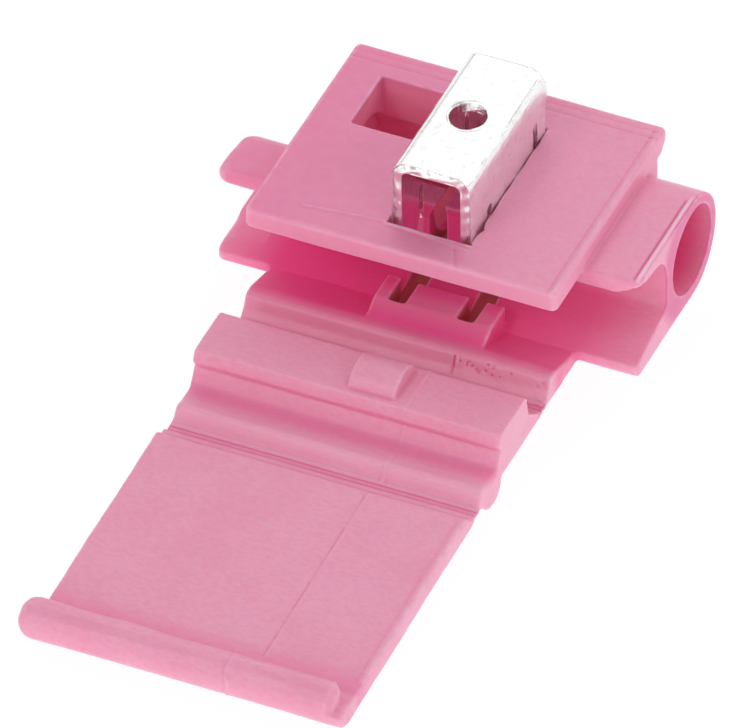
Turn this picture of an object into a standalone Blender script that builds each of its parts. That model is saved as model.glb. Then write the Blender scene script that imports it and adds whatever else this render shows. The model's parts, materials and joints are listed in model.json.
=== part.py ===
# Run-and-tap wire connector, lying open: a moulded housing with an open run channel and a blind tap
# bore, a hinged side wall and a hinged cover on living hinges, and a folded sheet-metal U contact
# standing proud of its slot. X runs along the wires, -Y points to the open cover, Z is up.
# All dimensions below are in millimetres; the scene is in metres.

import math

import bmesh
import bpy
from mathutils import Vector

MM = 0.001

# Tap tube: bore, wall round it, closed left end
BORE_R = 2.05
BARREL_WALL = 0.5
BORE_END_WALL = 0.9
TUBE_INSET = 0.65

# Run channel: a C section, open to the front, along the whole length
RUN_Y = 3.75
RUN_BACK = 2.2
MID_WALL = 0.6
CHANNEL_FRONT = 2.55
LIP_SETBACK = 0.3
FLOOR = 0.66
FLOOR_RISE = 0.79
JAW = 0.9
JAW_RISE = 0.17
CHANNEL_ROUND = 1.3
FLOOR_ROUND = 0.6
JAW_ROUND = 2.1
JAW_FLAT = 1.75
LIP_ROUND = 0.3
FRONT_ROUND = 0.42
END_ROUND = 0.55
END_OVERHANG = 2.58

# Flared ends of the channel: how deep, and how far each thins the jaw
MOUTH_DEPTH = 0.9
RIGHT_FLARE = 0.55
LEFT_FLARE = 0.1

# Top plate
PLATE_HALF_X = 7.25
PLATE_T = 1.02
PLATE_FRONT = -0.05
PLATE_OVERHANG = 0.77
PLATE_CORNER = 0.3
PLATE_EDGE = 0.1
CATCH = 0.75
CATCH_LAND = 0.3
WELD = 0.16
SHARP = 0.04
WEB_BACK = 0.08
WEB_INSET = 0.1

# Window over the blind end of the bore
WINDOW_LEDGE = 0.35
WINDOW_HALF_Y = 1.65
WINDOW_WEB = 0.98

# Contact: centre across the wires, outer sizes, slits over the two wires
CONTACT_X = 0.7
CONTACT_WIDTH = 3.7
CONTACT_AHEAD = 2.05
CONTACT_BEHIND = 1.1
CONTACT_TOP = 9.3
CONTACT_HEIGHT = 5.2
SHEET = 0.5
BEND_R = 0.8
HOLE_R = 0.83
FOOT_BEVEL = 0.5
SLIT_W = 0.36
SLIT_MOUTH = 0.75
RUN_SLIT = 2.35
TAP_SLIT = 3.0

# Clearances: round the metal, under the pressed feet, between folded pieces, at the pad's end and at the
# cover's lip; and how far a cut reaches past what it cuts
SLOT_GAP = 0.15
FOOT_GAP = 0.2
FOLD_GAP = 0.1
SNAP_GAP = 0.06
PAST = 1.0
LIP_GAP = 0.02
PRESSED_PROUD = 0.05

# Deck before the channel and the anvil on it
DECK_TOP = 1.2
DECK_NOSE = 0.12
DECK_FLAT = 0.38
SIDE_TRIM = 0.25
NOSE_STEP = (0.2, 0.12)
NOSE_FOOT = (0.42, 0.58)
NOSE_TOE = 0.74
ANVIL_TOP = 1.66
ANVIL_SIDES = (0.75, 1.0)
ANVIL_FOOT = 1.2
ANVIL_RAMP = 1.04
ANVIL_DEPTH = 1.3

# Living hinges: axes, web thickness, and the gap that parts the two halves of each web
HINGE_1 = (-1.0, 0.18)
HINGE_2_Z = -0.05
WEB = 0.3
WEB_GAP = 0.3

# Side wall; it folds past upright by WALL_LEAN
WALL_LEAN = 3.8
WALL_FOOT = 0.5
PAD_TOP = 2.25
PAD_START = 1.7
PAD_NOSE = 0.52
PAD_UNDERCUT = 0.22
PAD_LIP = 0.85
PAD_ROUND = 0.12
VALLEY_RUN = 0.35
CREST_OUT = 0.48
CREST_RISE = 0.15
CREST_TO_HINGE = 0.79
BULGE = 0.92
BULGE_LENGTH = 2.1
NUB_WIDTH = 2.2
NUB_LENGTH = 2.2
NUB_START = 1.8
NUB_RISE = 0.72
NUB_GAP = 0.12

# Cover, drawn flat and then tipped about its hinge; it shuts sloping down to its lip by LID_SLOPE
LID_SIDE = 0.15
LID_TRIM = 0.2
LID_TILT = 2.3
LID_SLOPE = 2.6
LID_TOP = 0.6
LID_T = 0.82
LID_ROOT = 0.9
LID_RAMP = 0.4
BEAD_R = 0.92
BEAD_CATCH = 0.5
BEAD_LEFT = 0.55
BEAD_TRIM = 0.45
BEAD_EASE = 0.3

# Everything below follows from the values above
BARREL_R = BORE_R + BARREL_WALL
CHANNEL_BACK = RUN_Y + RUN_BACK
BORE_Y = CHANNEL_BACK + MID_WALL + BORE_R
RAIL_TOP = 2 * BARREL_R
RAIL_HALF_X = PLATE_HALF_X + END_OVERHANG
LIP_Y = CHANNEL_FRONT + LIP_SETBACK
JAW_Z = RAIL_TOP - JAW
TUBE_X = TUBE_INSET - PLATE_HALF_X
BORE_X = TUBE_X + BORE_END_WALL
PLATE_Z = (RAIL_TOP - WELD, RAIL_TOP - WELD + PLATE_T)
PLATE_BACK = BORE_Y + BARREL_R + PLATE_OVERHANG
CONTACT_XS = (CONTACT_X - CONTACT_WIDTH / 2, CONTACT_X + CONTACT_WIDTH / 2)
CONTACT_YS = (RUN_Y - CONTACT_AHEAD, BORE_Y + CONTACT_BEHIND)
CONTACT_FOOT = CONTACT_TOP - CONTACT_HEIGHT
NOTCH_FLOOR = PLATE_Z[1] + PRESSED_PROUD - CONTACT_HEIGHT - FOOT_GAP
DECK_XS = (-PLATE_HALF_X, PLATE_HALF_X - SIDE_TRIM)

# Folded, a point of the side wall at distance a from its hinge and height b over it stands at
# y = b cos + a sin and z = a cos - b sin of WALL_LEAN, both from the hinge. The pad's end is rounded on
# the circle that passes just under the plate's front edge as the wall folds.
LEAN_C, LEAN_S = math.cos(math.radians(WALL_LEAN)), math.sin(math.radians(WALL_LEAN))
PAD_B = PAD_TOP - HINGE_1[1]
PAD_SWING = math.hypot(PLATE_FRONT + PLATE_EDGE - HINGE_1[0], PLATE_Z[0] - HINGE_1[1]) - SNAP_GAP
PAD_END = math.sqrt(PAD_SWING**2 - (PAD_B - PAD_NOSE) ** 2)
VALLEY_END = (PLATE_Z[1] - HINGE_1[1]) / LEAN_C
VALLEY_B = (PLATE_FRONT - FOLD_GAP - HINGE_1[0] - VALLEY_END * LEAN_S) / LEAN_C
CREST = VALLEY_END + CREST_OUT
HINGE_2_A = CREST + CREST_TO_HINGE
HINGE_2 = (HINGE_1[0] - HINGE_2_A, HINGE_2_Z)
HINGE_2_B = HINGE_2_Z - HINGE_1[1]
SHUT_Y = HINGE_1[0] + HINGE_2_B * LEAN_C + HINGE_2_A * LEAN_S

# The lip's roll has a flat face that shuts just behind the plate's back edge; its round is flush with the
# cover's underside
BEAD_W = LID_TOP - LID_T + BEAD_R
BEAD_LEAN = (BEAD_W + BEAD_R) * math.tan(math.radians(LID_SLOPE))
BEAD_U = (PLATE_BACK + LIP_GAP - SHUT_Y) / math.cos(math.radians(LID_SLOPE)) + BEAD_CATCH + BEAD_LEAN

# From the drawing's origin to the part's: centred on the bounding box, standing on its lowest point
LID_C, LID_S = math.cos(math.radians(LID_TILT)), math.sin(math.radians(LID_TILT))
BEAD_Y = HINGE_2[0] - BEAD_U * LID_C - BEAD_W * LID_S
SHIFT_Y = -(PLATE_BACK + BEAD_Y - BEAD_R) / 2
SHIFT_Z = max(BULGE, BEAD_R - (HINGE_2[1] + BEAD_W * LID_C - BEAD_U * LID_S))


def clear_scene():
    for obj in list(bpy.data.objects):
        bpy.data.objects.remove(obj, do_unlink=True)
    for mesh in list(bpy.data.meshes):
        bpy.data.meshes.remove(mesh)


def material(name, colour, metallic, roughness):
    mat = bpy.data.materials.new(name)
    mat.use_nodes = True
    shader = mat.node_tree.nodes["Principled BSDF"]
    shader.inputs["Base Color"].default_value = (*colour, 1.0)
    shader.inputs["Metallic"].default_value = metallic
    shader.inputs["Roughness"].default_value = roughness
    return mat


def rounded(corners, steps=5):
    """Outline through (a, b, radius) corners, each arc drawn with a few chords."""
    out = []
    n = len(corners)
    for i, (a, b, radius) in enumerate(corners):
        p = Vector((a, b))
        if radius <= 0:
            out.append((a, b))
            continue
        before = (Vector(corners[i - 1][:2]) - p).normalized()
        after = (Vector(corners[(i + 1) % n][:2]) - p).normalized()
        half = before.angle(after) / 2
        reach = radius / math.tan(half)
        centre = p + (before + after).normalized() * (radius / math.sin(half))
        start, end = p + before * reach - centre, p + after * reach - centre
        turn = start.angle_signed(end)
        for k in range(steps + 1):
            t = -turn * k / steps
            c, s = math.cos(t), math.sin(t)
            out.append((centre.x + start.x * c - start.y * s, centre.y + start.x * s + start.y * c))
    return out


def arc(cy, cz, radius, start, end, steps):
    """Points on an arc, angles in degrees."""
    angles = [math.radians(start + (end - start) * k / steps) for k in range(steps + 1)]
    return [(cy + radius * math.cos(t), cz + radius * math.sin(t)) for t in angles]


def prism(name, outline, low, high, axis="x", inset=0.0):
    """Closed prism of an outline, along x (outline in y, z), y (in x, z) or z (in x, y).
    An inset draws both ends in by that much, which breaks the sharp edges there."""
    place = {"x": lambda a, b, t: (t, a, b), "y": lambda a, b, t: (a, t, b), "z": lambda a, b, t: (a, b, t)}[axis]
    area = sum(p[0] * q[1] - q[0] * p[1] for p, q in zip(outline, outline[1:] + outline[:1]))
    if area < 0:
        outline = outline[::-1]
    rings = [(low, 0.0), (high, 0.0)]
    if inset:
        rings = [(low, inset), (low + inset, 0.0), (high - inset, 0.0), (high, inset)]
    bm = bmesh.new()
    loops = []
    for t, draw in rings:
        pts = inward(outline, draw) if draw else outline
        loops.append([bm.verts.new(place(a, b, t)) for a, b in pts])
    n = len(outline)
    for lower, upper in zip(loops, loops[1:]):
        for i in range(n):
            j = (i + 1) % n
            bm.faces.new((lower[i], lower[j], upper[j], upper[i]))
    bm.faces.new(loops[0][::-1])
    bm.faces.new(loops[-1])
    bmesh.ops.recalc_face_normals(bm, faces=bm.faces)
    mesh = bpy.data.meshes.new(name)
    bm.to_mesh(mesh)
    bm.free()
    obj = bpy.data.objects.new(name, mesh)
    bpy.context.scene.collection.objects.link(obj)
    return obj


def inward(outline, draw):
    """The outline moved in by a small amount, corner by corner."""
    out = []
    n = len(outline)
    for i in range(n):
        p = Vector(outline[i])
        d0 = (p - Vector(outline[i - 1])).normalized()
        d1 = (Vector(outline[(i + 1) % n]) - p).normalized()
        n0, n1 = Vector((-d0.y, d0.x)), Vector((-d1.y, d1.x))
        m = n0 + n1
        m = m / max(m.length_squared, 0.5) * 2
        out.append((p.x + m.x * draw, p.y + m.y * draw))
    return out


def box(name, x, y, z):
    return prism(name, [(x[0], y[0]), (x[1], y[0]), (x[1], y[1]), (x[0], y[1])], z[0], z[1], "z")


def combine(target, others, operation):
    """Applies one exact Boolean after another and removes the tools."""
    for other in others:
        mod = target.modifiers.new("cut", "BOOLEAN")
        mod.operation = operation
        mod.solver = "EXACT"
        mod.object = other
        graph = bpy.context.evaluated_depsgraph_get()
        mesh = bpy.data.meshes.new_from_object(target.evaluated_get(graph))
        target.modifiers.remove(mod)
        old = target.data
        target.data = mesh
        bpy.data.meshes.remove(old)
        tool = other.data
        bpy.data.objects.remove(other, do_unlink=True)
        bpy.data.meshes.remove(tool)


def finish(obj, name, mat):
    """Moves the mesh from drawing millimetres to the part's frame in metres, ready as a node."""
    for v in obj.data.vertices:
        v.co = (v.co.x * MM, (v.co.y + SHIFT_Y) * MM, (v.co.z + SHIFT_Z) * MM)
    obj.name = name
    obj.data.name = name
    obj.data.materials.clear()
    obj.data.materials.append(mat)
    bm = bmesh.new()
    bm.from_mesh(obj.data)
    bmesh.ops.remove_doubles(bm, verts=bm.verts, dist=2e-7)
    bmesh.ops.recalc_face_normals(bm, faces=bm.faces)
    bm.to_mesh(obj.data)
    bm.free()


def pivot(obj, hinge):
    """Puts the origin of a moving piece on its hinge axis without moving the mesh."""
    y, z = (hinge[0] + SHIFT_Y) * MM, (hinge[1] + SHIFT_Z) * MM
    for v in obj.data.vertices:
        v.co = (v.co.x, v.co.y - y, v.co.z - z)
    obj.location = (0.0, y, z)


def channel_section(lift):
    """Inner outline of the run channel, its jaw side lifted for a flared mouth."""
    open_y = DECK_NOSE
    return rounded([
        (open_y, FLOOR + lift / 2, 0), (CHANNEL_FRONT, FLOOR + lift / 4, 0),
        (CHANNEL_BACK - SHARP, FLOOR + FLOOR_RISE + lift / 4, FLOOR_ROUND),
        (CHANNEL_BACK - SHARP, JAW_Z + JAW_RISE, CHANNEL_ROUND), (LIP_Y + LIP_ROUND, JAW_Z + lift, 0),
        (open_y, JAW_Z + lift, 0),
    ])


def make_housing(mat):
    # One section over the whole length: C-shaped rail round the run channel, and the tap tube's round
    # barrel behind it
    top, back = RAIL_TOP, LIP_Y + JAW_FLAT + JAW_ROUND
    section = rounded([
        (LIP_Y, top, LIP_ROUND), (LIP_Y, JAW_Z, LIP_ROUND), (CHANNEL_BACK, JAW_Z + JAW_RISE, CHANNEL_ROUND),
        (CHANNEL_BACK, FLOOR + FLOOR_RISE, FLOOR_ROUND), (CHANNEL_FRONT, FLOOR, FLOOR / 4),
        (CHANNEL_FRONT, 0.0, FRONT_ROUND), (BORE_Y, 0.0, 0), (BORE_Y, top, 0),
    ])
    section = section[:-2] + arc(BORE_Y, BARREL_R, BARREL_R, -90, 90, 18)
    far = RAIL_HALF_X + PAST
    body = prism("body", section, -far, far, "x")

    # Left of the tube's closed end only the jaw goes on, its back one large round, and both ends of the
    # rail are rounded in plan
    behind = arc(back - JAW_ROUND, top - JAW_ROUND, JAW_ROUND, 0, 90, 9)
    behind = [(PLATE_BACK + PAST, top + PAST), (PLATE_BACK + PAST, -PAST), (back, -PAST)] + behind
    behind.append((back - JAW_ROUND, top + PAST))
    plan = rounded([
        (-RAIL_HALF_X, CHANNEL_FRONT - SHARP, END_ROUND), (RAIL_HALF_X, CHANNEL_FRONT - SHARP, END_ROUND / 2),
        (RAIL_HALF_X, PLATE_BACK, 0), (-RAIL_HALF_X, PLATE_BACK, 0),
    ], 3)
    combine(body, [prism("behind", behind, -far - PAST, TUBE_X, "x")], "DIFFERENCE")
    combine(body, [prism("plan", plan, -PAST, top + PAST, "z")], "INTERSECT")

    # Top plate, its back edge undercut as a catch for the cover's lip, and the web that carries it
    x, y0, y1, r = PLATE_HALF_X, PLATE_FRONT, PLATE_BACK, PLATE_CORNER
    plate = rounded([(-x, y0, r), (x, y0, r), (x, y1, r), (-x, y1, r)])
    plate = prism("plate", plate, PLATE_Z[0], PLATE_Z[1], "z", PLATE_EDGE)
    undercut = [
        (y1 - CATCH, PLATE_Z[0] - PAST), (y1 - CATCH, PLATE_Z[0]), (y1, PLATE_Z[1] - CATCH_LAND),
        (y1 + PAST, PLATE_Z[1] - CATCH_LAND), (y1 + PAST, PLATE_Z[0] - PAST),
    ]
    combine(plate, [prism("undercut", undercut, -2 * x, 2 * x, "x")], "DIFFERENCE")
    web = box("web", (TUBE_X + WEB_INSET, x - WEB_INSET), (BORE_Y, BORE_Y + BARREL_R - WEB_BACK),
              (BARREL_R, (PLATE_Z[0] + PLATE_Z[1]) / 2))

    # Deck in front of the channel, sloping up to its front edge, with half of the first hinge web
    y_web = HINGE_1[0] + WEB_GAP / 2
    nose = DECK_NOSE
    deck = [
        (CHANNEL_FRONT + FLOOR, 0.0), (CHANNEL_FRONT + FLOOR, FLOOR / 2), (CHANNEL_FRONT + FLOOR / 2, FLOOR - SHARP),
        (CHANNEL_FRONT - SHARP, FLOOR - SHARP / 2),
        (nose + DECK_FLAT, DECK_TOP), (nose, DECK_TOP), (nose - NOSE_STEP[0], DECK_TOP - NOSE_STEP[1]),
        (nose - NOSE_FOOT[0], DECK_TOP - NOSE_FOOT[1]), (nose - NOSE_TOE, WEB), (y_web, WEB), (y_web, 0.0),
    ]
    deck = prism("deck", deck, DECK_XS[0], DECK_XS[1], "x")

    # Raised anvil between the channel and the deck's front edge, under the contact's front end
    (cx0, cx1), (cy0, cy1) = CONTACT_XS, CONTACT_YS
    foot = cy0 - ANVIL_FOOT
    anvil = [
        (foot, FLOOR / 2), (foot, DECK_TOP - SHARP), (foot + ANVIL_RAMP, ANVIL_TOP),
        (cy0 + ANVIL_DEPTH, ANVIL_TOP), (cy0 + ANVIL_DEPTH, FLOOR / 2),
    ]
    anvil = prism("anvil", anvil, cx0 - ANVIL_SIDES[0], cx1 + ANVIL_SIDES[1], "x")
    combine(body, [web, plate, deck, anvil], "UNION")

    # Blind tap bore, flared mouths of the run channel, and the window
    bore = prism("bore", arc(BORE_Y, BARREL_R, BORE_R, 0, 348.75, 31), BORE_X, far, "x")
    mouth_r = prism("mouth_r", channel_section(RIGHT_FLARE), RAIL_HALF_X - MOUTH_DEPTH, far, "x")
    mouth_l = prism("mouth_l", channel_section(LEFT_FLARE), -far, MOUTH_DEPTH - RAIL_HALF_X, "x")
    window = box("window", (BORE_X + WINDOW_LEDGE, cx0 - SLOT_GAP - WINDOW_WEB),
                 (BORE_Y - WINDOW_HALF_Y, BORE_Y + WINDOW_HALF_Y), (BARREL_R, PLATE_Z[1] + PAST))

    # Opening for the contact in the plate, and the two slots its walls run down into
    gap = SLOT_GAP
    slot = box("slot", (cx0 - gap, cx1 + gap), (cy0 - gap, cy1 + gap), (JAW_Z - JAW / 2, PLATE_Z[1] + PAST))
    ends, low, high = (cy0 - gap, cy1 + gap), NOTCH_FLOOR, (PLATE_Z[0] + PLATE_Z[1]) / 2
    well = [
        (ends[0], high), (ends[0], low + FOOT_BEVEL), (ends[0] + FOOT_BEVEL, low),
        (ends[1] - FOOT_BEVEL, low), (ends[1], low + FOOT_BEVEL), (ends[1], high),
    ]
    notches = [
        prism(f"notch_{i}", well, a - gap, a + SHEET + gap, "x") for i, a in enumerate((cx0, cx1 - SHEET))
    ]
    combine(body, [bore, mouth_r, mouth_l, window, slot] + notches, "DIFFERENCE")
    finish(body, "housing", mat)
    return body


def make_side_wall(mat):
    def at(a, z):
        return (HINGE_1[0] - a, z)

    valley = HINGE_1[1] + VALLEY_B
    crest = valley + CREST_RISE
    belly = CREST + PAD_ROUND
    outline = [at(a, z) for a, z in [
        (WEB_GAP / 2, 0.0), (WEB_GAP / 2, WEB), (WALL_FOOT, WEB + PAD_ROUND), (PAD_START - WEB, PAD_TOP / 2),
        (PAD_START - PAD_ROUND, PAD_TOP - PAD_ROUND), (PAD_START, PAD_TOP),
        *((math.sqrt(PAD_SWING**2 - (PAD_B - drop) ** 2), PAD_TOP - drop) for drop in (0, PAD_NOSE / 2, PAD_NOSE)),
        (PAD_END - PAD_UNDERCUT, PAD_TOP - PAD_LIP), (PAD_END + VALLEY_RUN / 2, valley + FOLD_GAP),
        (PAD_END + VALLEY_RUN, valley),
        (VALLEY_END, valley), (VALLEY_END + CREST_OUT / 2, crest - CREST_RISE / 2), (CREST, crest),
        (CREST + PAD_ROUND, crest - PAD_ROUND / 2), (CREST + PAD_ROUND * 2.5, WEB + PAD_ROUND),
        (CREST + PAD_ROUND * 3.5, WEB / 2 + HINGE_2_Z), (HINGE_2_A - WEB_GAP / 2, WEB / 2 + HINGE_2_Z),
        (HINGE_2_A - WEB_GAP / 2, HINGE_2_Z - WEB / 2), (belly, HINGE_2_Z - WEB / 2),
    ]]
    # The underside bulges behind the crest to about the thickness of the rest
    bulge = [(0.11, 0.46), (0.26, 0.78), (0.43, 0.96), (0.6, 1.0), (0.77, 0.91), (0.91, 0.65), (0.98, 0.33), (1.0, 0.0)]
    outline += [at(belly - BULGE_LENGTH * a, -BULGE * b) for a, b in bulge]
    sides = (-PLATE_HALF_X, DECK_XS[1])
    wall = prism("wall", outline, sides[0], sides[1], "x")

    # Nub that presses the run wire home between the contact's two walls
    middle, half = HINGE_1[0] - NUB_START - NUB_LENGTH / 2, NUB_LENGTH / 2
    turns = [math.pi * k / 12 for k in range(13)]
    lens = [(middle + half * math.cos(t), PAD_TOP + NUB_RISE * math.sin(t)) for t in turns]
    lens = [(middle + half, PAD_TOP - NUB_RISE)] + lens + [(middle - half, PAD_TOP - NUB_RISE)]
    side = CONTACT_XS[1] - SHEET - NUB_GAP
    nub = prism("nub", lens, side - NUB_WIDTH, side, "x")
    combine(wall, [nub], "UNION")
    finish(wall, "side_wall", mat)
    pivot(wall, HINGE_1)
    return wall


def make_cover(mat):
    # u is the distance from the hinge axis towards -Y, w the height over it
    def at(u, w):
        return (HINGE_2[0] - u * LID_C - w * LID_S, HINGE_2[1] + w * LID_C - u * LID_S)

    hi, lo = LID_TOP, LID_TOP - LID_T
    sheet = [
        (WEB_GAP / 2, -WEB / 2), (WEB_GAP / 2, WEB / 2), (LID_ROOT - LID_RAMP, WEB / 2), (LID_ROOT, hi),
        (BEAD_U, hi), (BEAD_U, lo), (LID_ROOT / 2, lo), (LID_ROOT / 3, -WEB / 2),
    ]
    left, right = -PLATE_HALF_X - LID_SIDE, PLATE_HALF_X - LID_TRIM
    cover = prism("cover", [at(u, w) for u, w in sheet], left, right, "x")
    bead = [at(max(u, BEAD_U - BEAD_CATCH), w) for u, w in arc(BEAD_U, BEAD_W, BEAD_R, 5, 350, 23)]
    bead = prism("bead", bead, left - BEAD_LEFT, right - BEAD_TRIM, "x", BEAD_EASE)
    combine(cover, [bead], "UNION")
    finish(cover, "cover", mat)
    pivot(cover, HINGE_2)
    return cover


def make_contact(mat):
    (x0, x1), (y0, y1), z0, z1 = CONTACT_XS, CONTACT_YS, CONTACT_FOOT, CONTACT_TOP
    t, r = SHEET, BEND_R
    outline = rounded([
        (x0, z0, 0), (x0, z1, r), (x1, z1, r), (x1, z0, 0), (x1 - t, z0, 0), (x1 - t, z1 - t, r - t),
        (x0 + t, z1 - t, r - t), (x0 + t, z0, 0),
    ], 6)
    contact = prism("contact", outline, y0, y1, "y")
    ring = arc(CONTACT_X, (y0 + y1) / 2, HOLE_R, 0, 345, 23)
    tools = [prism("hole", ring, z1 - 2 * t, z1 + t, "z")]

    # Feet bevelled at their outer corners, and one slit over each wire
    for y, side in ((y0, 1), (y1, -1)):
        bevel = [(y - side * t, z0 - t), (y + side * FOOT_BEVEL, z0 - t), (y + side * FOOT_BEVEL, z0),
                 (y, z0 + FOOT_BEVEL), (y - side * t, z0 + FOOT_BEVEL)]
        tools.append(prism("bevel", bevel, x0 - t, x1 + t, "x"))
    h = SLIT_W / 2
    for y, length in ((RUN_Y, RUN_SLIT), (BORE_Y, TAP_SLIT)):
        top = z0 + length
        slit = [(y - SLIT_MOUTH, z0 - t), (y + SLIT_MOUTH, z0 - t), (y + h, z0 + SLIT_MOUTH), (y + h, top - h),
                (y + h / 2, top), (y - h / 2, top), (y - h, top - h), (y - h, z0 + SLIT_MOUTH)]
        tools.append(prism("slit", slit, x0 - t, x1 + t, "x"))
    combine(contact, tools, "DIFFERENCE")
    finish(contact, "u_contact", mat)
    return contact


clear_scene()
pink = (0.66, 0.18, 0.33)
make_housing(material("housing_plastic", pink, 0.0, 0.42))
make_side_wall(material("side_wall_plastic", pink, 0.0, 0.42))
make_cover(material("cover_plastic", pink, 0.0, 0.42))
make_contact(material("contact_metal", (0.78, 0.78, 0.74), 1.0, 0.22))
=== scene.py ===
"""Run-and-tap wire connector, lying open on a pale table: pink moulded plastic and a bright folded
sheet-metal contact. Shapes are worked in drawing millimetres, with the origin at the front of the
top plate on the middle of the connector, and then put into the frame."""

import json
import math

import bmesh
import bpy
import numpy as np
from mathutils import Matrix, Vector


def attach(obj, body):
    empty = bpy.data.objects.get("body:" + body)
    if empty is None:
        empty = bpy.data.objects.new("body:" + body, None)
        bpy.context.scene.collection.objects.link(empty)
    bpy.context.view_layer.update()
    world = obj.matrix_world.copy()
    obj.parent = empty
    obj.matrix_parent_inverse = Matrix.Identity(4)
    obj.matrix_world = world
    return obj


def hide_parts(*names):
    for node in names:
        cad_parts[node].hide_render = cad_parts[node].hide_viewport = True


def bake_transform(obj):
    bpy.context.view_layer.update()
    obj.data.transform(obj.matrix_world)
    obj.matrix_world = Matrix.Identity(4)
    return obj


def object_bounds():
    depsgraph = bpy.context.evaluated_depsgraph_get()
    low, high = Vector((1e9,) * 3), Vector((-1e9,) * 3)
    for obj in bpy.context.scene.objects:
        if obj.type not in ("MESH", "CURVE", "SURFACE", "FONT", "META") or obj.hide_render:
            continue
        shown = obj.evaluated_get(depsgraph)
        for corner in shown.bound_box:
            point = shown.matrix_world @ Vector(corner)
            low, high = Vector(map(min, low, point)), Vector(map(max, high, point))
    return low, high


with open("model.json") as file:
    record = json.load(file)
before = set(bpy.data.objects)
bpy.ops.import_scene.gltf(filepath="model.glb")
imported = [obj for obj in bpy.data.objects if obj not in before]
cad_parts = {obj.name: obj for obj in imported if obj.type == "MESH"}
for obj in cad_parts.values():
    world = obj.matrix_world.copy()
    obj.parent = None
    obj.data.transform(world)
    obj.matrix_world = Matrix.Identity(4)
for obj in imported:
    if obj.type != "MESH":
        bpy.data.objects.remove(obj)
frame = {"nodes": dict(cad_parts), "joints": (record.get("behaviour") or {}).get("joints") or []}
cad_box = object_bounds()

# Places in drawing millimetres: of the hinges, lip and bore as (y, z), of the contact as (x, y)
MM = 0.001
HINGE_1 = (-1.0, 0.18)
hinge_pos = next(j["pos_m"] for j in frame["joints"] if j["name"] == "side_wall_hinge")
SHIFT = Vector((0.0, hinge_pos[1] / MM - HINGE_1[0], hinge_pos[2] / MM - HINGE_1[1]))
lid_pos = next(j["pos_m"] for j in frame["joints"] if j["name"] == "cover_hinge")
HINGE_2 = (lid_pos[1] / MM - SHIFT.y, lid_pos[2] / MM - SHIFT.z)
HINGE_XS = (-7.25, 7.0)
PLATE_TOP = 5.96
PART_X = 2.55
RAIL_END = 9.83
RIM_X = 9.64
RAIL_FRONT = 2.85
LIP = (-21.37, 0.05)
BORE_MID = (8.60, 2.55)
CONTACT_MID = (0.70, 5.70)
CONTACT_HALF = 1.85
CONTACT_TOP = 9.30
SHEET = 0.50
SEED = 7


# Camera with its lens in millimetres, lamps and table in metres
LENS, SENSOR = 1136.9935, 36.0
CLIP = (0.05, 20.0)
CAMERA_RIGHT = (0.91417, 0.40515, -0.01177)
CAMERA_UP = (-0.25833, 0.60477, 0.75334)
CAMERA_BACK = (0.31234, -0.68564, 0.65753)
CAMERA_PLACE = (0.313035, -0.69003, 0.660912)
LAMP_AIM = (0.0, 0.0, 0.003)
# Name, place, size and power of each lamp
LAMPS = (
    ("key", (-0.17, -0.34, 0.36), 0.12, 0.25),
    ("fill", (0.42, -0.22, 0.20), 0.34, 0.30),
    ("sheen", (-0.17, 0.37, 0.36), 0.55, 0.56),
    ("front", (-0.06, -0.50, 0.13), 0.30, 0.27),
    ("kicker", (0.34, 0.36, 0.17), 0.12, 0.22),
    ("sheen_right", (0.22, 0.37, 0.32), 0.28, 0.14),
)
SKY = 0.52
WHITE = (1.0, 1.0, 1.0, 1.0)
TABLE_HALF, TABLE_GAP = 3, 2e-5
TABLE_GREY, TABLE_GLOW = (0.12, 0.12, 0.12, 1.0), 0.92


def add_camera():
    data = bpy.data.cameras.new("camera")
    data.lens, data.sensor_width = LENS, SENSOR
    data.sensor_fit = "HORIZONTAL"
    data.clip_start, data.clip_end = CLIP
    cam = bpy.data.objects.new("camera", data)
    place = [p + s * MM for p, s in zip(CAMERA_PLACE, SHIFT)]
    cam.matrix_world = Matrix([*zip(CAMERA_RIGHT, CAMERA_UP, CAMERA_BACK, place), (0, 0, 0, 1)])
    bpy.context.scene.collection.objects.link(cam)
    bpy.context.scene.camera = cam


def add_lamp(name, place, size, power):
    data = bpy.data.lights.new(name, "AREA")
    data.shape = "SQUARE"
    data.size = size
    data.energy = power
    lamp = bpy.data.objects.new(name, data)
    lamp.location = place
    lamp.rotation_euler = (Vector(LAMP_AIM) - Vector(place)).to_track_quat("-Z", "Y").to_euler()
    bpy.context.scene.collection.objects.link(lamp)


def add_table():
    """White table that glows by itself, so that it takes only a faint shadow."""
    half = TABLE_HALF
    floor = bpy.data.meshes.new("table")
    corners = [(-half, -half, 0), (half, -half, 0), (half, half, 0), (-half, half, 0)]
    floor.from_pydata(corners, [], [(0, 1, 2, 3)])
    table = bpy.data.objects.new("table", floor)
    table.location.z = cad_box[0][2] - TABLE_GAP
    mat = bpy.data.materials.new("table_white")
    mat.use_nodes = True
    shader = mat.node_tree.nodes["Principled BSDF"]
    shader.inputs["Base Color"].default_value = TABLE_GREY
    shader.inputs["Roughness"].default_value = 0.9
    shader.inputs["Specular IOR Level"].default_value = 0.1
    shader.inputs["Emission Color"].default_value = WHITE
    shader.inputs["Emission Strength"].default_value = TABLE_GLOW
    table.data.materials.append(mat)
    bpy.context.scene.collection.objects.link(table)


def add_studio():
    for lamp in LAMPS:
        add_lamp(*lamp)
    world = bpy.data.worlds.new("studio")
    world.use_nodes = True
    sky = world.node_tree.nodes["Background"]
    sky.inputs["Color"].default_value = WHITE
    sky.inputs["Strength"].default_value = SKY
    bpy.context.scene.world = world
    bpy.context.scene.view_settings.view_transform = "Standard"
    add_table()


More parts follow.
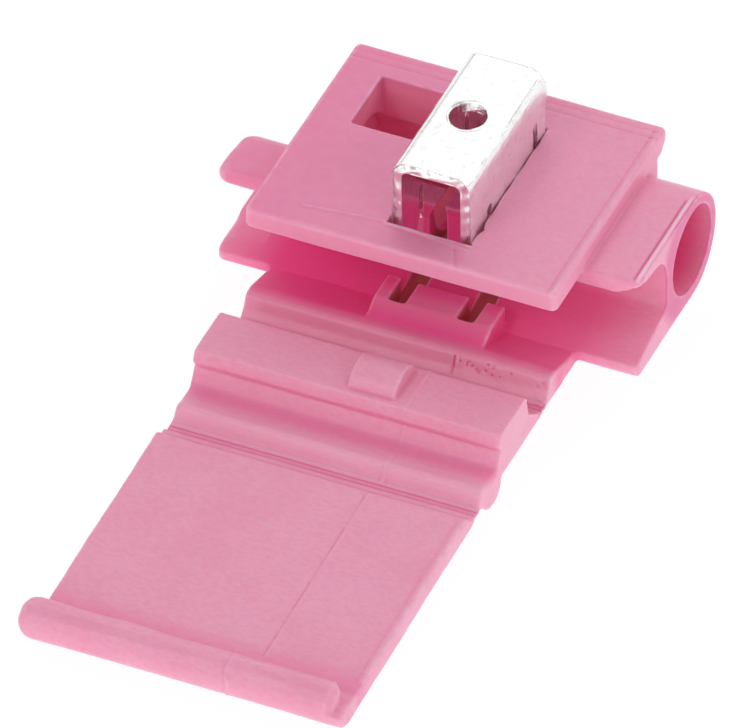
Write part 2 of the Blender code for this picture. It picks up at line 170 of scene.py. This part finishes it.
# Materials: the pinks of the plastic by place, many of them painted light and shade, and the two greys of
# the tin
PINK = {
    # Painted light: the housing goes from deeper on the left to lighter on the right, where more light
    # falls
    "left": (0.925, 0.258, 0.462, 1.0),
    "right": (0.930, 0.372, 0.545, 1.0),
    "cloud_low": (0.920, 0.368, 0.530, 1.0),
    "cloud_high": (0.950, 0.412, 0.572, 1.0),
    "fleck": (0.95, 0.40, 0.57, 1.0),
    "fine": (0.90, 0.26, 0.45, 1.0),
    # From fold down to rim, these pinks are painted shade and painted light
    "fold": (0.92, 0.16, 0.40, 1.0),
    "crest": (0.99, 0.50, 0.66, 1.0),
    "recess_painted_shade": (0.95, 0.085, 0.34, 1.0),
    "deck_front_painted_light": (0.99, 0.54, 0.67, 1.0),
    "notch_painted_shade": (0.50, 0.20, 0.12, 1.0),
    "window": (0.97, 0.36, 0.52, 1.0),
    "painted_glow": (1.0, 0.025, 0.22, 1.0),
    "port_painted_shade": (0.78, 0.13, 0.34, 1.0),
    "rim": (0.98, 0.76, 0.86, 1.0),
    "web": (0.88, 0.14, 0.36, 1.0),
    "edge_painted_highlight": (0.97, 0.60, 0.74, 1.0),
    "corner": (0.80, 0.08, 0.26, 1.0),
}
WINDOW_PAINTED_GLOW = 0.035
PLASTIC_IOR = 1.49
LIGHT_REACH = (1.0, 0.2, 0.35)
WALL_DEPTH, WEB_DEPTH = 0.00035, 0.0001
TIN_BRIGHT, TIN_DULL = (0.96, 0.96, 0.955, 1.0), (0.80, 0.80, 0.78, 1.0)


class Nodes:
    """Small helper to lay out a node tree on a material's Principled shader."""

    def __init__(self, name):
        self.mat = bpy.data.materials.new(name)
        self.mat.use_nodes = True
        self.tree = self.mat.node_tree
        self.shader = self.tree.nodes["Principled BSDF"]
        self.coords = self.tree.nodes.new("ShaderNodeTexCoord").outputs["Object"]

    def new(self, kind, **sockets):
        node = self.tree.nodes.new(kind)
        for key, value in sockets.items():
            self.put(node.inputs[key.replace("_", " ")], value)
        return node

    def put(self, socket, value):
        if isinstance(value, bpy.types.NodeSocket):
            self.tree.links.new(value, socket)
        else:
            socket.default_value = value

    def set(self, name, value):
        """Sets or feeds one of the shader's own sockets."""
        self.put(self.shader.inputs[name], value)

    def noise(self, size_mm, detail=3.0, rough=0.5, stretch=(1.0, 1.0, 1.0)):
        """Noise of a feature size in millimetres, drawn out along an axis by stretch."""
        scale = tuple(1.0 / (size_mm * MM * s) for s in stretch)
        place = self.new("ShaderNodeMapping", Vector=self.coords, Scale=scale)
        node = self.new("ShaderNodeTexNoise", Vector=place.outputs["Vector"], Scale=1.0, Detail=detail,
                        Roughness=rough)
        return node.outputs["Fac"]

    def axis(self, which):
        """Drawing coordinate in millimetres along one axis."""
        split = self.new("ShaderNodeSeparateXYZ", Vector=self.coords)
        return self.ramp(split.outputs[which], 0.0, MM, -SHIFT[which], 1 - SHIFT[which], clamp=False)

    def ramp(self, value, low, high, out_low=0.0, out_high=1.0, clamp=True):
        node = self.new("ShaderNodeMapRange", Value=value)
        node.clamp = clamp
        ends = {"From Min": low, "From Max": high, "To Min": out_low, "To Max": out_high}
        for key, number in ends.items():
            node.inputs[key].default_value = number
        return node.outputs["Result"]

    def mix(self, fac, a, b):
        node = self.tree.nodes.new("ShaderNodeMix")
        node.data_type = "RGBA"
        self.put(node.inputs["Factor"], fac)
        for socket, value in zip([s for s in node.inputs if s.type == "RGBA"], (a, b)):
            self.put(socket, value)
        return [s for s in node.outputs if s.type == "RGBA"][0]

    def bend(self):
        """The stored bend of the surface: 0 on flat faces, above 0 along outer edges, below in corners."""
        node = self.tree.nodes.new("ShaderNodeAttribute")
        node.attribute_name = "bend"
        return node.outputs["Fac"]

    def math(self, how, a, b):
        node = self.tree.nodes.new("ShaderNodeMath")
        node.operation = how
        self.put(node.inputs[0], a)
        self.put(node.inputs[1], b)
        return node.outputs[0]

    def times(self, first, *others):
        for other in others:
            first = self.math("MULTIPLY", first, other)
        return first

    def away(self, value, middle=0.0):
        """How far a value lies from a middle, either way."""
        return self.math("ABSOLUTE", self.math("SUBTRACT", value, middle), 0.0)

    def bump(self, height, strength, distance, **under):
        node = self.new("ShaderNodeBump", Height=height, Strength=strength, Distance=distance, **under)
        return node.outputs["Normal"]


def cover_tone(n, base):
    """Painted shade: deeper along the foot of the lip."""
    y = n.axis(1)
    foot = n.times(n.ramp(y, -19.1, -20.3), n.ramp(y, -20.66, -20.5))
    return n.mix(n.times(foot, 0.5), base, PINK["fold"])


def side_wall_tone(n, base):
    """Painted shade deeper in the valley, and painted light lighter on the ridge top behind it."""
    y, z = n.axis(1), n.axis(2)
    valley = n.times(n.ramp(y, -6.75, -6.25), n.ramp(y, -5.45, -5.95), n.ramp(z, 0.2, 0.4))
    base = n.mix(n.times(valley, 0.5), base, PINK["fold"])
    return n.mix(n.ramp(y, -6.7, -7.0, 0.0, 0.3), base, PINK["crest"])


def housing_tone(n, base):
    """Painted shade deepens the channel, the wells, the bore and the end face round it, and browns the
    bottom of the notches; painted light lightens the deck's front and the window, which is also given
    a painted glow, and a painted highlight runs along the open end's top rim."""
    x, y, z = (n.axis(k) for k in range(3))
    wells = n.times(n.ramp(n.away(x, CONTACT_MID[0]), 2.4, 2.2), n.ramp(y, 10.1, 9.9))
    inside = n.math("MAXIMUM", n.ramp(y, 6.0, 5.8), wells)
    ends = n.times(n.ramp(n.away(x), 9.3, 7.0), n.ramp(x, 2.5, 8.5, 1.0, 0.45))
    anvil = n.times(n.ramp(z, 1.25, 1.6), n.ramp(y, 2.6, 2.0))
    # Painted shade in the channel and wells, fading towards the right end and over the anvil
    channel = n.times(n.ramp(y, 0.10, 0.75), n.ramp(z, 4.35, 3.9), n.ramp(z, 0.02, 0.12), inside, ends,
                      n.ramp(anvil, 0.0, 1.0, 0.92, 0.45))
    base = n.mix(channel, base, PINK["recess_painted_shade"])
    # Painted light: the deck's front face is painted lighter
    base = n.mix(n.ramp(y, 0.15, -0.15, 0.0, 0.32), base, PINK["deck_front_painted_light"])
    # Painted shade: the bottoms of the notches are painted brown
    notches = n.math("MAXIMUM", *(n.ramp(n.away(x, middle), 0.46, 0.38) for middle in (-0.9, 2.3)))
    notches = n.times(notches, n.ramp(z, 1.62, 1.35), n.ramp(y, 1.5, 1.56), inside)
    base = n.mix(n.times(notches, 0.85), base, PINK["notch_painted_shade"])
    # Painted light: the window is painted lighter and given a painted glow that no lamp gives
    window = n.times(n.ramp(z, 5.75, 5.4), n.ramp(z, 0.3, 0.5), n.ramp(y, 6.6, 6.8), n.ramp(y, 10.8, 10.6),
                     n.ramp(x, -1.9, -2.1), n.ramp(x, -6.9, -6.7))
    base = n.mix(n.times(window, 0.8), base, PINK["window"])
    n.set("Emission Color", PINK["painted_glow"])
    n.set("Emission Strength", n.times(window, WINDOW_PAINTED_GLOW))
    across, above = n.math("SUBTRACT", y, BORE_MID[0]), n.math("SUBTRACT", z, BORE_MID[1])
    from_bore = n.math("POWER", n.math("ADD", n.times(across, across), n.times(above, above)), 0.5)
    # Painted shade inside the bore
    bore = n.times(n.ramp(from_bore, 2.12, 2.04), n.ramp(x, 9.8, 8.4), n.ramp(x, 1.0, 4.0))
    base = n.mix(bore, base, PINK["recess_painted_shade"])
    # Painted shade: the end face round the bore is painted deeper
    port_painted_shade = n.times(n.ramp(x, 9.68, 9.76), n.ramp(from_bore, 3.6, 2.9))
    base = n.mix(n.times(port_painted_shade, 0.85), base, PINK["port_painted_shade"])
    # Painted highlight: a pale line along the open end's top rim
    rim = n.times(n.ramp(n.away(x, RIM_X), 0.12, 0.05), n.ramp(z, 5.0, 5.1), n.ramp(z, 5.3, 5.2))
    return n.mix(n.times(rim, 0.6), base, PINK["rim"])


TONES = {"housing": housing_tone, "side_wall": side_wall_tone, "cover": cover_tone}


def plastic(name, zone, depth=WALL_DEPTH):
    """Pink polypropylene: satin, faintly mottled, with painted highlights along outer edges and painted
    shade in inner corners; light goes a little way in except at the folds; zone is the piece that it is
    for, or the hinge webs."""
    n = Nodes(name)
    if zone == "housing":
        # Painted light: the housing is painted lighter towards its right end, where more light falls
        base = n.mix(n.ramp(n.axis(0), -6.5, 7.0), PINK["left"], PINK["right"])
    else:
        base = n.mix(n.ramp(n.noise(4.0, 2.0), 0.35, 0.65), PINK["cloud_low"], PINK["cloud_high"])
    fleck = n.ramp(n.noise(0.5, 3.0), 0.3, 0.7)
    base = n.mix(n.times(fleck, 0.22), base, PINK["fleck"])
    fine = n.ramp(n.noise(0.15, 2.0, 0.6, (2.2, 1.0, 1.0)), 0.38, 0.66)
    base = n.mix(n.times(fine, 0.36), base, PINK["fine"])
    if zone in TONES:
        base = TONES[zone](n, base)
    y = n.axis(1)
    from_axis = n.math("MINIMUM", *(n.away(y, hinge[0]) for hinge in (HINGE_1, HINGE_2)))
    if zone == "hinge":
        base = n.mix(n.ramp(from_axis, 0.03, 0.10, 0.2, 0.8), base, PINK["web"])
    bend = n.bend()
    # Painted highlight: pale broken lines along the outer edges, where the light catches them
    worn = n.times(n.ramp(bend, 0.15, 0.9), n.ramp(n.noise(0.5, 3.0, 0.6), 0.35, 0.65, 0.2, 0.65))
    base = n.mix(worn, base, PINK["edge_painted_highlight"])
    # Painted shade: deeper in the inner corners
    n.set("Base Color", n.mix(n.ramp(bend, -0.12, -0.9, 0.0, 0.7), base, PINK["corner"]))
    flow = n.noise(0.9, 3.0, 0.6, (1.0, 5.0, 1.0))
    n.set("Roughness", n.ramp(flow, 0.3, 0.7, 0.30, 0.42))
    n.set("IOR", PLASTIC_IOR)
    n.set("Subsurface Weight", n.ramp(from_axis, 0.35, 0.8, 0.0, 0.5))
    n.set("Subsurface Radius", LIGHT_REACH)
    n.set("Subsurface Scale", depth)
    grain = n.bump(n.noise(0.13, 3.0, 0.6, (2.2, 1.0, 1.0)), 0.8, 0.000018)
    n.set("Normal", n.bump(n.noise(1.6, 2.0), 0.5, 0.00005, Normal=grain))
    return n.mat


def tinned():
    """Bright tin plate: faint rolling streaks, small dents and dull specks, duller on its right side."""
    n = Nodes("contact_tin")
    n.set("Metallic", 1.0)
    streak = n.noise(0.10, 4.0, 0.6, (1.0, 9.0, 4.0))
    n.set("Base Color", n.mix(n.ramp(n.noise(0.35, 4.0, 0.65), 0.52, 0.72), TIN_BRIGHT, TIN_DULL))
    right_side = n.ramp(n.axis(0), 2.30, 2.50)
    n.set("Roughness", n.math("ADD", n.ramp(streak, 0.3, 0.7, 0.13, 0.28), n.times(right_side, 0.18)))
    lines = n.bump(streak, 0.35, 0.000012)
    n.set("Normal", n.bump(n.noise(0.9, 2.0, 0.5, (1.0, 1.6, 1.0)), 0.25, 0.00004, Normal=lines))
    return n.mat


# Soft-edged copies of the solids, worked in drawing millimetres
MERGE = 0.0005
SOFTEN_PASSES, SOFTEN_STEP = 18, 0.7
BEND_UNIT = 0.125
# Boxes cut out: at the left end the wall between the two shelves stops short of them
CUTS = {"housing": [((-10.2, 3.3, 0.88), (-8.05, 7.2, 4.25))]}
# Bars melted in: the jaw keeps its full thickness at the front edge of the right mouth
JAW = [(2.90, 4.26), (3.35, 4.26), (3.50, 4.60), (3.50, 5.0), (2.98, 5.05), (2.90, 4.95)]
JAW_XS, JAW_LIFT = (8.6, 9.45), 0.30
# An ear, lower than the lip, is melted on at the lip's right end
EAR_XS, EAR_R, EAR_STEPS = (6.3, 7.0), 0.86, 18


def applied(obj, kind, **settings):
    mod = obj.modifiers.new("m", kind)
    for key, value in settings.items():
        setattr(mod, key, value)
    graph = bpy.context.evaluated_depsgraph_get()
    mesh = bpy.data.meshes.new_from_object(obj.evaluated_get(graph))
    obj.modifiers.remove(mod)
    old = obj.data
    obj.data = mesh
    bpy.data.meshes.remove(old)


def read_points(mesh):
    co = np.empty(len(mesh.vertices) * 3)
    mesh.vertices.foreach_get("co", co)
    return co.reshape(-1, 3)


def read_normals(mesh):
    no = np.empty(len(mesh.vertices) * 3)
    mesh.vertex_normals.foreach_get("vector", no)
    return no.reshape(-1, 3)


def to_frame(obj):
    obj.data.transform(Matrix.Scale(MM, 4) @ Matrix.Translation(SHIFT))


def add_bar(bm, outline, low, high, lift=0.0):
    """Closed bar along x from an outline in (y, z), to be melted into a solid. Its lower side comes up
    by lift towards its high end."""
    top = max(z for y, z in outline)
    span = top - min(z for y, z in outline)
    ends = [(low, outline), (high, [(y, z + lift * (top - z) / span) for y, z in outline])]
    rings = [[bm.verts.new((x, y, z)) for y, z in ring] for x, ring in ends]
    for i in range(len(outline)):
        j = (i + 1) % len(outline)
        bm.faces.new((rings[0][i], rings[0][j], rings[1][j], rings[1][i]))
    bm.faces.new(rings[0][::-1])
    bm.faces.new(rings[1])


def cut_box(obj, low, high):
    """Takes a box out of a solid."""
    low, high = Vector(low), Vector(high)
    bm = bmesh.new()
    bmesh.ops.create_cube(bm, size=1.0, matrix=Matrix.LocRotScale((low + high) / 2, None, high - low))
    mesh = bpy.data.meshes.new("cutter")
    bm.to_mesh(mesh)
    bm.free()
    cutter = bpy.data.objects.new("cutter", mesh)
    bpy.context.scene.collection.objects.link(cutter)
    applied(obj, "BOOLEAN", object=cutter, operation="DIFFERENCE", solver="EXACT")
    bpy.data.objects.remove(cutter)


def housing_bars(bm):
    add_bar(bm, JAW, *JAW_XS, JAW_LIFT)


def cover_bars(bm):
    turns = [math.pi + math.pi * k / EAR_STEPS for k in range(EAR_STEPS + 1)]
    add_bar(bm, [(LIP[0] + EAR_R * math.cos(t), LIP[1] + EAR_R * math.sin(t)) for t in turns], *EAR_XS)


def no_bars(bm):
    pass


def worn_housing(x, y, z):
    return step(x, 8.5, 8.8) * step(3.6 - y, 0.0, 0.3) * step(z, 3.7, 4.0)


def worn_wall(x, y, z):
    return step(-5.7 - y, 0.0, 0.2) * step(y + 7.7, 0.0, 0.2) * step(z, 0.05, 0.2)


def worn_cover(x, y, z):
    return step(-7.25 - x, 0.0, 0.3) * step(-20.4 - y, 0.0, 0.1)


def not_worn(x, y, z):
    return np.zeros(len(x))


def neighbour_mean(mesh):
    """Function that averages a value over each point's neighbours."""
    total = len(mesh.vertices)
    ends = np.empty(len(mesh.edges) * 2, dtype=np.int32)
    mesh.edges.foreach_get("vertices", ends)
    a, b = ends.reshape(-1, 2).T
    count = np.maximum(np.bincount(ends, minlength=total), 1)

    def around(values):
        there = np.bincount(a, weights=values[b], minlength=total)
        return (there + np.bincount(b, weights=values[a], minlength=total)) / count

    return around


def soften(points, around, mask):
    """Rounds the form over where mask is 1."""
    for _ in range(SOFTEN_PASSES):
        for k in range(3):
            points[:, k] += SOFTEN_STEP * mask * (around(points[:, k]) - points[:, k])


def mark_bends(mesh, around, voxel):
    """Stores on each point how sharply the surface bends there, in units of 1 / BEND_UNIT, outwards
    positive, so that the material can paint highlights on outer edges and shade in inner corners. The
    folds get no painted edge highlight."""
    points, normals = read_points(mesh), read_normals(mesh)
    drop = sum((around(points[:, k]) - points[:, k]) * normals[:, k] for k in range(3))
    bend = -4.0 * drop / voxel**2 * BEND_UNIT
    for _ in range(2):
        bend = 0.5 * bend + 0.5 * around(bend)
    for hinge in (HINGE_1, HINGE_2):
        fold = step(0.8 - np.abs(points[:, 1] - hinge[0]), 0.0, 0.2) * step(0.5 - points[:, 2], 0.0, 0.15)
        bend = np.where(bend > 0, bend * (1 - fold), bend)
    layer = mesh.attributes.new("bend", "FLOAT", "POINT")
    layer.data.foreach_set("value", bend.astype(np.float32))


def dressed(node, name, voxel, passes, faces, bars, worn, relief, mat):
    """A copy of a solid with its edges worn round as moulding or pressing leaves them, boxes cut out and
    small bars melted in, softened where worn(x, y, z) is 1, its surface lifted or sunk by
    relief(points, normals), and only as fine as it needs."""
    obj = frame["nodes"][node].copy()
    obj.data = frame["nodes"][node].data.copy()
    for key in [k for k in obj.keys() if k.startswith("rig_")]:
        del obj[key]
    obj.parent = None
    obj.name = name
    bpy.context.scene.collection.objects.link(obj)
    obj.data.transform(Matrix.Translation(-SHIFT) @ Matrix.Scale(1 / MM, 4))
    bm = bmesh.new()
    bm.from_mesh(obj.data)
    bmesh.ops.remove_doubles(bm, verts=bm.verts, dist=MERGE)
    bmesh.ops.recalc_face_normals(bm, faces=bm.faces)
    bm.to_mesh(obj.data)
    for low, high in CUTS.get(node, ()):
        cut_box(obj, low, high)
    bm.clear()
    bm.from_mesh(obj.data)
    bars(bm)
    bmesh.ops.recalc_face_normals(bm, faces=bm.faces)
    bm.to_mesh(obj.data)
    bm.free()
    applied(obj, "REMESH", mode="VOXEL", voxel_size=voxel, adaptivity=0.0)
    applied(obj, "SMOOTH", factor=0.5, iterations=passes)
    points, normals = read_points(obj.data), read_normals(obj.data)
    around = neighbour_mean(obj.data)
    mask = worn(*points.T)
    if mask.any():
        soften(points, around, mask)
    points += normals * relief(points, normals)[:, None]
    obj.data.vertices.foreach_set("co", points.ravel())
    obj.data.update()
    mark_bends(obj.data, around, voxel)
    triangles = len(obj.data.polygons) * 2
    applied(obj, "DECIMATE", ratio=min(1.0, faces / triangles))
    for poly in obj.data.polygons:
        poly.use_smooth = True
    applied(obj, "WEIGHTED_NORMAL", weight=80, keep_sharp=False)
    to_frame(obj)
    obj.data.materials.clear()
    obj.data.materials.append(mat)
    return obj


# Forms and marks in drawing millimetres: paths in (x, y), spans as (low, high)
BACK_CORNER_SHARE = 0.55
WITNESS = [(-5.0, 1.14), (-3.7, 1.30), (-1.5, 1.56), (2.6, 1.16)]
SCORE = [(2.1, 1.0), (2.65, -0.2)]
FLASH_RIGHT, FLASH_LEFT = 7.05, -7.08
PITS, PIT_DEPTH = 22, 0.055
PIT_XS, PIT_ZS, PIT_SIZES = (2.75, 5.4), (0.66, 1.12), (0.045, 0.07)
LIP_LINE_X = 1.8
LIP_DENT = (6.78, -21.0, 0.3)
HOLE_R, BURR_R = 0.92, 0.98
TORN_CORNER = (2.35, 9.7, 8.2)


def gauss(d, width):
    return np.exp(-((d / width) ** 2))


def step(v, low, high):
    t = np.clip((v - low) / (high - low), 0.0, 1.0)
    return t * t * (3 - 2 * t)


def waves(points, size, seed):
    """Smooth uneven field between about -1 and 1, from a few seeded plane waves."""
    rng = np.random.default_rng(seed)
    total = np.zeros(len(points))
    for _ in range(7):
        direction = rng.normal(size=3)
        direction /= np.linalg.norm(direction)
        turn = points @ direction * (2 * math.pi / size) * rng.uniform(0.6, 1.5)
        total += np.sin(turn + rng.uniform(0, 6.28))
    return total / 3.5


def polyline_distance(points, path):
    """Distance in plan from each point to a path of (x, y) corners."""
    best = np.full(len(points), np.inf)
    for (ax, ay), (bx, by) in zip(path, path[1:]):
        run = np.array((bx - ax, by - ay))
        t = np.clip(((points[:, :2] - (ax, ay)) @ run) / (run @ run), 0.0, 1.0)
        near = np.array((ax, ay)) + t[:, None] * run
        best = np.minimum(best, np.linalg.norm(points[:, :2] - near, axis=1))
    return best


def part_line(points, x, height, width):
    """Thin raised flash where the two halves of the mould meet, fading in and out along its length."""
    along = 0.65 + 0.35 * np.sin(points[:, 1] * 2.3) * np.sin(points[:, 1] * 0.9 + 1.0)
    return height * gauss(points[:, 0] - x, width) * along


def round_nose(points, start, end, levels):
    """Rounds the ends of thin shelves over, top to bottom, from x start to x end; each level is
    (middle, reach) in z."""
    x, y, z = points.T
    t = np.clip((x - start) / (end - start), 0.0, 1.0)
    squeeze = np.sqrt(1 - 0.82 * t * t)
    squeeze += (1 - squeeze) * step(y, 4.6, 5.4)
    for middle, reach in levels:
        near = np.abs(z - middle) < reach
        points[near, 2] = middle + (z[near] - middle) * squeeze[near]


def round_corners(points, side, start, low, high, front, front_r, back=0.0, back_r=0.0):
    """Rounds one end of the rail in plan between two heights, from abs(x) of start outwards: its front
    corner in full, and its back corner, where that has a radius, less deep."""
    x, y, z = points.T
    reach = RAIL_END - start
    draw = np.zeros(len(points))
    back_depth = BACK_CORNER_SHARE * back_r
    corners = ((front + front_r - y, front_r, front_r), (y - back + back_r, back_r, back_depth))
    for into, radius, depth in corners:
        if radius > 0:
            t = np.clip(into / radius, 0.0, 0.98)
            draw = np.maximum(draw, depth * (1 - np.sqrt(1 - t * t)))
    near = (z > low) & (z <= high) & (x * side > start)
    squeezed = side * (start + (np.abs(x) - start) * (1 - np.minimum(draw, reach) / reach))
    points[near, 0] = squeezed[near]


def close_slot(points):
    """The plastic curls up to the metal along the slot's right side, unevenly."""
    x, y, z = points.T
    near = step(z, PLATE_TOP - 0.7, PLATE_TOP - 0.3) * step(x, 2.55, 2.62) * step(3.25 - x, 0.0, 0.5)
    near *= step(y, 1.55, 1.75) * step(9.9 - y, 0.0, 0.2)
    curl = 0.13 + 0.018 * np.sin(y * 1.25 + 0.4) + 0.015 * np.sin(y * 4.1) - 0.10 * gauss(y - 2.7, 0.25)
    points[:, 0] -= near * curl


def housing_relief(points, normals):
    round_nose(points, -9.35, -RAIL_END, ((4.65, 0.75), (0.42, 0.75)))
    round_corners(points, -1, 7.9, 4.1, 6.0, RAIL_FRONT, 0.4, 6.7, 3.0)
    round_corners(points, 1, 9.2, 3.0, 6.0, RAIL_FRONT, 0.45)
    close_slot(points)
    x, y, z = points.T
    up = step(normals[:, 2], 0.7, 0.95)
    front = step(-normals[:, 1], 0.5, 0.9)
    lift = 0.012 * waves(points, 5.0, SEED)
    # A witness line of the mould's insert, a sink over the tube and a score before the contact
    on_plate = up * step(z, PLATE_TOP - 0.15, PLATE_TOP - 0.05)
    lift += on_plate * 0.045 * gauss(polyline_distance(points, WITNESS), 0.09)
    lift -= on_plate * 0.02 * gauss(y - BORE_MID[0], 1.4) * step(x, -6.0, -4.5)
    lift -= on_plate * 0.03 * gauss(polyline_distance(points, SCORE), 0.10)
    # Raised rim at the slot's front, and two faint lines along the plate's back edge
    lift += on_plate * 0.06 * gauss(y - 1.44, 0.09) * step(x, -1.5, -1.2) * step(2.9 - x, 0.0, 0.3)
    lift -= on_plate * (0.022 * gauss(y - 11.45, 0.09) + 0.03 * gauss(y - 11.02, 0.08))
    # Flash down the deck's front, and pits and a rough end to the right of it
    deck = step(1.6 - z, 0.0, 0.2) * step(1.9 - y, 0.0, 0.3)
    lift -= deck * front * 0.07 * gauss(x - PART_X, 0.06)
    lift += deck * front * 0.04 * gauss(x - PART_X - 0.15, 0.06)
    rng = np.random.default_rng(SEED)
    for _ in range(PITS):
        px, pz, size = rng.uniform(*PIT_XS), rng.uniform(*PIT_ZS), rng.uniform(*PIT_SIZES)
        lift -= deck * front * PIT_DEPTH * gauss(np.hypot(x - px, z - pz), size)
    lift += deck * 0.015 * waves(points, 0.8, SEED + 1) * step(x, -1.0, 3.0)
    lift += deck * front * 0.03 * waves(points, 0.45, SEED + 5) * step(x, 5.9, 6.6)
    # Flash round the plate's sides and along the top of the open end
    broken = 0.6 + 0.4 * np.sin(y * 3.1) * np.sin(y * 1.3 + 0.7)
    sides = gauss(x - FLASH_RIGHT, 0.08) + 0.6 * gauss(x - FLASH_LEFT, 0.08)
    lift += on_plate * 0.06 * sides * broken
    lift -= on_plate * 0.03 * gauss(x - 6.80, 0.08)
    rim = up * step(0.25 - np.abs(z - 5.05), 0.0, 0.1) * step(y, 3.0, 3.3) * step(8.9 - y, 0.0, 0.3)
    lift += rim * (0.085 * gauss(x - RIM_X, 0.075) - 0.06 * gauss(x - 9.46, 0.075))
    return lift


def wall_relief(points, normals):
    up = step(normals[:, 2], 0.1, 0.5)
    lift = 0.012 * waves(points, 4.0, SEED + 2)
    lift += up * part_line(points, PART_X, 0.05, 0.075)
    return lift


def cover_relief(points, normals):
    # The lip's left end is a low dome
    x, y, z = points.T
    near = np.hypot(y - LIP[0], z - LIP[1]) < 1.05
    shrink = 1 - 0.10 * np.clip((-7.3 - x) / 0.65, 0.0, 1.0) ** 1.5
    points[near, 1] = LIP[0] + (y[near] - LIP[0]) * shrink[near]
    points[near, 2] = LIP[1] + (z[near] - LIP[1]) * shrink[near]
    x, y, z = points.T
    up = step(normals[:, 2], 0.6, 0.95)
    lift = 0.014 * waves(points, 6.0, SEED + 3)
    # Part line and raised right rim on the sheet
    sheet = up * step(-9.0 - y, 0.0, 0.3) * step(y + 20.0, 0.0, 0.3)
    broken = 0.7 + 0.3 * step(np.sin(y * 1.9) + 0.55 * np.sin(y * 5.3 + 1.0), -0.6, 0.6)
    lift += sheet * (0.03 * gauss(x - PART_X, 0.07) - 0.028 * gauss(x - PART_X + 0.14, 0.07)) * broken
    lift += sheet * 0.05 * step(x, 6.72, 6.80)
    # Wandering line and long ripples on the lip, and a dent at its right end
    bead = step(-20.3 - y, 0.0, 0.3)
    wander = x - LIP_LINE_X - 0.09 * np.sin(z * 5.0 + 0.6)
    lift += bead * (0.026 * gauss(wander, 0.08) - 0.022 * gauss(wander + 0.17, 0.08))
    lift += bead * 0.02 * waves(points * (0.15, 1.0, 1.0), 0.7, SEED + 9)
    lift -= 0.16 * gauss(np.linalg.norm(points - LIP_DENT, axis=1), 0.22)
    return lift


def contact_relief(points, normals):
    x, y, z = points.T
    up = step(normals[:, 2], 0.6, 0.95)
    side = step(np.abs(normals[:, 0]), 0.6, 0.95)
    edge = step(np.abs(normals[:, 1]), 0.6, 0.95)
    lift = 0.006 * waves(points, 2.6, SEED + 4)
    # Press line along the right bend, and a shallow trough on the left
    lift -= up * 0.035 * gauss(x - 1.78 - 0.012 * np.sin(y * 2.1), 0.10)
    lift -= up * 0.02 * gauss(x + 0.35, 0.2)
    # Punched hole: drawn-in rim, and a burr on its left
    from_hole = np.hypot(x - CONTACT_MID[0], y - CONTACT_MID[1])
    lift -= up * 0.05 * gauss(from_hole - HOLE_R, 0.14)
    lift += up * 0.07 * gauss(from_hole - BURR_R, 0.10) * gauss(x - CONTACT_MID[0] + 0.85, 0.35)
    # Torn corner at the back of the right bend, and a side and bend that aren't quite even
    lift += 0.12 * gauss(np.linalg.norm(points - TORN_CORNER, axis=1), 0.5)
    lift -= side * step(x, 2.0, 2.3) * 0.02 * (1 + waves(points, 1.6, SEED + 6))
    bend = step(z, 8.3, 8.6) * step(x, 1.9, 2.1)
    lift -= bend * 0.006 * (1 + waves(points, 0.9, SEED + 8))
    # Sheared ends: rolled over on the outside of the sheet, uneven on the inside
    depth = np.minimum(CONTACT_TOP - z, CONTACT_HALF - np.abs(x - CONTACT_MID[0])) / SHEET
    lift -= edge * 0.16 * np.clip(1 - depth, 0, 1) ** 2
    lift -= edge * 0.035 * (1 + waves(points, 0.7, SEED + 7))
    return lift


# Living hinges, thinnest at the axis
WEB_REACH, WEB_THICK, GAP_HALF = 0.32, 0.22, 0.15
WEB_WAIST, WEB_SWELL = 0.72, 0.28
WEB_ROWS, WEB_COLS = 16, 24


def hinge_web(name, hinge, mat):
    """The thin strip of plastic that joins two halves."""
    left, right = HINGE_XS
    xs = [left + (right - left) * i / WEB_COLS for i in range(WEB_COLS + 1)]
    bm = bmesh.new()
    grid = []
    for k in range(WEB_ROWS + 1):
        t = -1 + 2 * k / WEB_ROWS
        y, half = hinge[0] - t * WEB_REACH, WEB_THICK / 2 * (WEB_WAIST + WEB_SWELL * t * t)
        grid.append([[bm.verts.new((x, y, z)) for x in xs] for z in (hinge[1] + half, hinge[1] - half)])
    for (t0, l0), (t1, l1) in zip(grid, grid[1:]):
        for i in range(WEB_COLS):
            bm.faces.new((t0[i], t0[i + 1], t1[i + 1], t1[i]))
            bm.faces.new((l0[i], l1[i], l1[i + 1], l0[i + 1]))
        bm.faces.new((t0[0], t1[0], l1[0], l0[0]))
        bm.faces.new((t0[-1], l0[-1], l1[-1], t1[-1]))
    for t, l in (grid[0], grid[-1]):
        for i in range(WEB_COLS):
            bm.faces.new((t[i], l[i], l[i + 1], t[i + 1]))
    bmesh.ops.recalc_face_normals(bm, faces=bm.faces)
    mesh = bpy.data.meshes.new(name)
    bm.to_mesh(mesh)
    bm.free()
    obj = bpy.data.objects.new(name, mesh)
    bpy.context.scene.collection.objects.link(obj)
    to_frame(obj)
    mesh.materials.append(mat)
    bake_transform(obj)
    return obj


# The connector
add_camera()
pinks = {name: plastic(f"{name}_pink", name) for name in TONES}
tin = tinned()
web_pink = plastic("hinge_pink", "hinge", WEB_DEPTH)
# Node, name, body, slot, voxel size, smoothing passes, faces to keep, bars, worn places and relief
PIECES = (
    ("housing", "housing_moulding", "housing", "housing_plastic", 0.065, 5, 190000,
     housing_bars, worn_housing, housing_relief),
    ("side_wall", "side_wall_moulding", "side_wall", "side_wall_plastic", 0.07, 4, 60000,
     no_bars, worn_wall, wall_relief),
    ("cover", "cover_moulding", "cover", "cover_plastic", 0.07, 4, 60000, cover_bars,
     worn_cover, cover_relief),
    ("u_contact", "contact_folded", "contact", "contact_metal", 0.045, 3, 70000, no_bars,
     not_worn, contact_relief),
)
for node, name, body, slot, voxel, passes, faces, bars, worn, relief in PIECES:
    piece = dressed(node, name, voxel, passes, faces, bars, worn, relief, pinks.get(node, tin))
    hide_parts(node)
    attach(piece, body)

web_1 = hinge_web("hinge_web_1", HINGE_1, web_pink)
web_2 = hinge_web("hinge_web_2", HINGE_2, web_pink)

add_studio()
